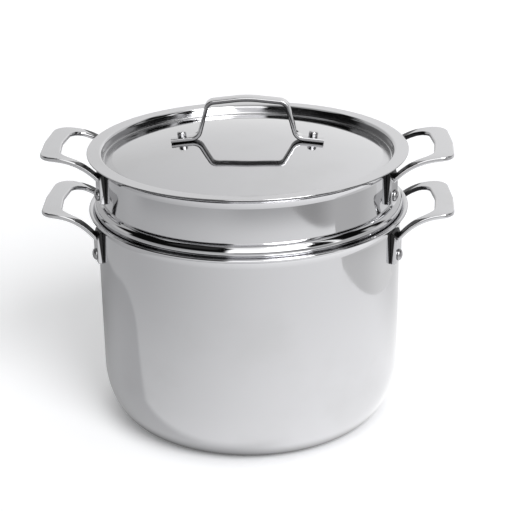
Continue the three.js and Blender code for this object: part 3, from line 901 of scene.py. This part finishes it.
class STEAMER_OT_loop_handles(Operator):
    """Builds the four cast loop handles, each with two ears on the wall"""

    bl_idname = "steamer.loop_handles"
    bl_label = "Loop Handles"

    def edge(self, root, corner, middle, corner_radius, middle_radius):
        """One edge of the loop in plan, from the front ear round the grip to the back ear."""
        straight = 1 - corner_radius / (root - corner).length
        half = [(root.lerp(corner, straight * i / (LEG_STEPS + 1)), 0) for i in range(LEG_STEPS + 1)]
        half.append((corner, corner_radius))
        mirrored = [(flat(point.x, -point.y), radius) for point, radius in reversed(half)]
        return rounded([*half, (middle, middle_radius), *mirrored], 16)

    def loop(self, loop, wall, reach, rise):
        """The legs and the grip, with the rivets at height 0."""
        leg = loop.ear_spacing / 2
        half_leg = loop.leg_width / 2
        root = sqrt(wall**2 - (leg + half_leg) ** 2)
        start = sqrt(wall**2 - leg**2)
        inside = reach - loop.grip_width
        swell = loop.half_width
        corner = flat(reach - loop.bow, -swell)
        outer = self.edge(flat(root, -leg - half_leg), corner, flat(reach, 0), loop.grip_corner, swell)
        corner = flat(inside - loop.opening_bow, loop.leg_width - swell)
        inner = self.edge(flat(root, half_leg - leg), corner, flat(inside, 0), loop.opening_corner, swell)
        brow = flat(loop.brow_width, loop.brow_height)
        sections = []
        for first, last in zip(outer, inner):
            across = last - first
            ring = eased_ring(across.length / 2, loop.thickness / 2, loop.edge, brow)
            section = []
            for place, lift in ring:
                plan = (first + last) / 2 + across.normalized() * place
                left = 1 - (plan.x - start) / (reach - start)
                height = loop.leg_base + rise * (1 - left**loop.leg_curve)
                slope = rise * loop.leg_curve * abs(left) ** (loop.leg_curve - 1) / (reach - start)
                normal = flat(-slope, 1).normalized() * lift
                section.append((plan.x + normal.x, plan.y, height + normal.y))
            sections.append(section)
        return lofted(sections)

    def ear(self, loop, wall, turn):
        """An ear that stands on the wall, turned about the pot's axis."""
        face = wall + loop.seat
        back = face - loop.ear_thickness
        front = face + loop.ear_thickness
        outline = rounded(
            [
                (flat(back, -loop.ear_below), 0),
                (flat(front, -loop.ear_below), loop.ear_edge),
                (flat(front, loop.ear_shoulder), loop.ear_thickness),
                (flat(face + loop.ear_tip, loop.ear_above), loop.ear_edge),
                (flat(back, loop.ear_above), 0),
            ]
        )
        half = loop.ear_width / 2
        inner = offset(outline, loop.ear_edge)
        levels = []
        for i in range(EDGE_STEPS + 1):
            turned = pi / 2 * i / EDGE_STEPS
            levels.append((1 - sin(turned), loop.ear_edge * (1 - cos(turned)) - half))
        levels += [(drawn, -side) for drawn, side in reversed(levels)]
        sections = []
        for drawn, side in levels:
            line = [a.lerp(b, drawn) for a, b in zip(outline, inner)]
            sections.append([(point.x, side, point.y) for point in line])
        plate = lofted(sections)
        plate.transform(Matrix.Rotation(turn, 4, "Z"))
        return plate

    def execute(self, context):
        loop = context.scene.loop_sizes
        for body, wall, _, reach, rise, height in handle_walls(context.scene):
            loop_casting(body, wall, height)
            finishes = (f"{body}_casting", "shaded_casting")
            turn = asin(loop.ear_spacing / 2 / wall)
            for side, half_turn in (("right", 0), ("left", pi)):
                skin = worked(
                    self.loop(loop, wall, reach, rise),
                    ("UNION", self.ear(loop, wall, turn)),
                    ("UNION", self.ear(loop, wall, -turn)),
                    ("DIFFERENCE", drum(wall + loop.seat, -CUTTER_HALF, CUTTER_HALF, 2 * TURN_STEPS)),
                )
                skin.transform(Matrix.Translation((0, 0, height)) @ Matrix.Rotation(half_turn, 4, "Z"))
                # Painted shade: the far leg's inner face and the legs' upper faces near the wall take the
                # shaded finish
                for face in skin.faces:
                    middle = face.calc_center_median()
                    far_leg = face.normal.y < FORWARD and middle.y > loop.ear_width
                    leg_top = face.normal.z > UPWARD and middle.xy.length < wall + loop.leg_shade
                    if far_leg or leg_top:
                        face.material_index = 1
                node = f"{body}_handle_{side}"
                made = show(f"{body}_loop_{side}", skin, node, finishes)
                made.modifiers.new("Even shading", "WEIGHTED_NORMAL").keep_sharp = True
        return {"FINISHED"}


class STEAMER_OT_rivets(Operator):
    """Builds the rivets of the loop handles and of the lid's handle"""

    bl_idname = "steamer.rivets"
    bl_label = "Rivets"

    def rivet(self, sizes, sheet, hollow, stack, head):
        """A rivet along Z with the outer face of the sheet at 0."""
        inner = -sheet - hollow - sizes.seat
        outer = stack + sizes.seat
        butt = ellipse(flat(0, inner), flat(sizes.butt, sizes.butt_height), -90, 0, 8)
        butt[0].x = 0
        shank = [flat(sizes.shank, inner), flat(sizes.shank, outer)]
        return spun([*butt, *shank, *[flat(point.x, point.y + outer) for point in head]], steps=RIVET_STEPS)

    def execute(self, context):
        sizes = context.scene.rivet_sizes
        loop = context.scene.loop_sizes
        lid = context.scene.lid_sizes
        strap = context.scene.strap_sizes
        button = ellipse(flat(0, 0), flat(sizes.head, sizes.head_height), 0, 90, 16)
        button[-1].x = 0
        stack = loop.seat + loop.ear_thickness
        for body, wall, sheet, _, _, height in handle_walls(context.scene):
            turn = asin(loop.ear_spacing / 2 / wall)
            for side, x in (("left", -1), ("right", 1)):
                for end, y in (("front", -1), ("back", 1)):
                    out = Vector((x * cos(turn), y * sin(turn), 0))
                    skin = self.rivet(sizes, sheet, sizes.hollow, stack, button)
                    skin.transform(pointing(out * wall + Vector((0, 0, height)), out))
                    node = f"{body}_rivet_{side}_{end}"
                    name = f"{body}_button_{side}_{end}"
                    # Painted shade: the loop rivets take a darker copy of the rivet steel
                    show(name, skin, node, ("dull_rivet",))
        top = (flat(sizes.stud, sizes.stud_height), STUD_BEND * sizes.stud)
        stud = rounded([(flat(sizes.stud, 0), 0), top, (flat(0, sizes.stud_height), 0)])
        reach, tilt = foot_place(lid, strap)
        for side, x in (("left", -1), ("right", 1)):
            skin = self.rivet(sizes, lid.sheet, 0, sizes.seat + strap.thickness, stud)
            out = Vector((x * sin(tilt), 0, cos(tilt)))
            skin.transform(pointing((x * reach, 0, dome_height(lid, reach)), out))
            show(f"lid_stud_{side}", skin, f"lid_rivet_{side}", ("mirror_rivet",))
        return {"FINISHED"}


class STEAMER_OT_stage(Operator):
    """Sets up the pale floor, the soft studio light and the camera"""

    bl_idname = "steamer.stage"
    bl_label = "Studio Stage"

    def seen(self, bench):
        """Whether a ray comes from the eye, from the steel or through something clear."""
        path = bench.node("ShaderNodeLightPath").socket.node.outputs
        return [Wire(bench, path[f"Is {kind} Ray"]) for kind in ("Camera", "Glossy", "Transmission")]

    def lay_floor(self, studio):
        """The floor: white to the eye round the pot's shadow and a painted contact shadow, and to the steel a
        glow with painted light and shadows.
        """
        skin = bmesh.new()
        skin.faces.new([skin.verts.new((x, y, -FLOOR_DROP)) for x, y in FLOOR_OUTLINE])
        floor = as_object("studio_floor", skin)
        paper = bpy.data.materials.new("studio_paper")
        bench = Bench(paper)
        eye, gloss, through = self.seen(bench)
        x, y, _ = bench.axes("Object")
        reach = (x * x + y * y) ** 0.5
        side = x.maths("DIVIDE", reach + AXIS_GAP)
        open_floor = reach.above(*SHADE_IN_STEEL)
        # To the steel the floor's own colour is weaker, and painted black close to the pot as contact shade
        pale = bench.colour(gloss, studio.floor, [part * STEEL_SHARE for part in studio.floor])
        pale = bench.colour(gloss * (1 - open_floor), pale, (0, 0, 0))
        card = bench.node("ShaderNodeBsdfDiffuse", sockets={"Color": pale})
        # The glow that the steel mirrors: brighter to the right, painted light close to the pot, painted
        # shade far out in front, behind it and in a painted cast shadow
        back = y.above(*FLOOR_BACK)
        far = reach.above(*FAR_FLOOR) * (1 - y.above(*FLOOR_FRONT))
        far = far * (1 + FAR_SIDE_MORE * side.above(*FAR_SIDE))
        way_x, way_y = SHADOW_WAY
        along = way_y * y + way_x * x
        across = (way_y * x - way_x * y).maths("MINIMUM", 0)
        beyond = (along - SHADOW_LENGTH).maths("MAXIMUM", 0)
        edge = (across * across + beyond * beyond) ** 0.5
        depth = SHADOW_LOSS + SHADOW_BACK_LOSS * back
        shadow = along.above(*SHADOW_START) * (1 - edge.above(*SHADOW_EDGE)) * depth
        behind = back * side.beside(FLOOR_SIDES, *BACK_LOSS)
        close = 1 - reach.above(*CLOSE_FLOOR)
        shine = studio.shine + studio.slant * side - SIDE_LOSS * side * side + CLOSE_GAIN * close
        shine = shine * (1 - FAR_LOSS * far) * (1 - shadow - behind) * open_floor
        # To the eye the glow is faded close to the pot as a painted contact shadow
        given = (eye + through) * studio.lift * reach.above(*SHADE_TO_EYE) + gloss * shine
        glow = bench.node("ShaderNodeEmission", sockets={"Strength": given})
        both = bench.node("ShaderNodeAddShader", sockets={0: card, 1: glow})
        bench.node("ShaderNodeOutputMaterial", sockets={"Surface": both})
        floor.data.materials.append(paper)

    def card(self, turn, z, left, right, low, high, level):
        """The light of one studio card, with soft edges."""
        left, right, low, high = [
            [radians(edge + blur) for blur in (-CARD_BLUR, CARD_BLUR)] for edge in (left, right, low, high)
        ]
        across = turn.above(*left) * (1 - turn.above(*right))
        upright = z.above(*map(sin, low)) * (1 - z.above(*map(sin, high)))
        return across * upright * level

    def light_room(self, scene, studio):
        """The world: white to the eye, and a dark studio with its cards to all else."""
        scene.world = bpy.data.worlds.new("studio")
        bench = Bench(scene.world)
        eye, gloss, _ = self.seen(bench)
        x, y, z = bench.axes("Generated")
        turn = x.maths("ARCTAN2", 0 - y)
        near, away = BACKDROP_SIDE
        behind = 1 - (turn.above(-away, -near) * (1 - turn.above(near, away)))
        past_top = z - (BACKDROP_TOP + BACKDROP_TOP_SLOPE * x)
        tall = 1 - past_top.above(-BACKDROP_BLUR, BACKDROP_BLUR)
        backdrop = behind * z.above(*BACKDROP_FOOT) * tall * (studio.backdrop + BACKDROP_SLOPE * x)
        right = turn.above(*TABLE_STEPS[0][:2])
        table = TABLE_LIGHT + TABLE_NEAR_GAIN * right * (1 - z.above(*TABLE_NEAR))
        for start, end, step in TABLE_STEPS:
            table = table + step * turn.above(start, end)
        ceiling = z.above(*CEILING_EDGE) * (CEILING_LIGHT + CEILING_SLOPE * x)
        room = ROOM_DARK + (1 - z.above(*TABLE_EDGE)) * table + backdrop + ceiling
        for card in STUDIO_CARDS.values():
            room = room + self.card(turn, z, *card)
        seen_from = ROOM_TO_FLOOR + (1 - ROOM_TO_FLOOR) * gloss
        level = eye + (1 - eye) * room * (studio.cards * seen_from)
        light = bench.node("ShaderNodeBackground", sockets={"Color": (1, 1, 1, 1), "Strength": level})
        bench.node("ShaderNodeOutputWorld", sockets={"Surface": light})

    def hang_key(self, studio):
        data = bpy.data.lights.new("key", "SUN")
        data.energy = studio.sun
        data.angle = studio.sun_size
        key = placed("key", data)
        turn = studio.sun_turn + studio.turn
        out = Vector((sin(turn), -cos(turn), tan(studio.sun_rise)))
        key.matrix_world = pointing((0, 0, 1), out)

    def set_camera(self, scene, studio):
        data = bpy.data.cameras.new("camera")
        data.lens = studio.lens
        data.sensor_width = SENSOR_WIDTH
        camera = placed("camera", data)
        camera.matrix_world = (
            Matrix.Translation(studio.aim)
            @ Matrix.Rotation(studio.turn, 4, "Z")
            @ Matrix.Rotation(pi / 2 - studio.pitch, 4, "X")
            @ Matrix.Rotation(studio.roll, 4, "Z")
            @ Matrix.Translation((0, 0, studio.distance))
        )
        scene.camera = camera

    def execute(self, context):
        scene = context.scene
        studio = scene.studio_sizes
        self.lay_floor(studio)
        self.light_room(scene, studio)
        self.hang_key(studio)
        self.set_camera(scene, studio)
        scene.view_settings.view_transform = "Standard"
        return {"FINISHED"}


OPERATORS = (
    STEAMER_OT_pot_body,
    STEAMER_OT_insert_body,
    STEAMER_OT_lid_body,
    STEAMER_OT_lid_handle,
    STEAMER_OT_loop_handles,
    STEAMER_OT_rivets,
    STEAMER_OT_stage,
)


class STEAMER_PT_panel(Panel):
    """Lists the sizes and the pieces of the steamer pot"""

    bl_idname = "STEAMER_PT_panel"
    bl_label = "Steamer Pot"
    bl_space_type = "VIEW_3D"
    bl_region_type = "UI"
    bl_category = "Steamer Pot"

    def draw(self, context):
        for operator in OPERATORS:
            self.layout.operator(operator.bl_idname)
        for group, kind in GROUPS.items():
            box = self.layout.box()
            box.label(text=kind.__doc__)
            for name in kind.__annotations__:
                box.prop(getattr(context.scene, group), name)


CLASSES = (*GROUPS.values(), *OPERATORS, STEAMER_PT_panel)


def register():
    for kind in CLASSES:
        bpy.utils.register_class(kind)
    for group, kind in GROUPS.items():
        setattr(bpy.types.Scene, group, PointerProperty(type=kind))


def unregister():
    for group in GROUPS:
        delattr(bpy.types.Scene, group)
    for kind in reversed(CLASSES):
        bpy.utils.unregister_class(kind)


def main():
    register()
    bpy.ops.steamer.pot_body()
    bpy.ops.steamer.insert_body()
    bpy.ops.steamer.lid_body()
    bpy.ops.steamer.lid_handle()
    bpy.ops.steamer.loop_handles()
    bpy.ops.steamer.rivets()
    bpy.ops.steamer.stage()


if __name__ == "__main__":
    main()
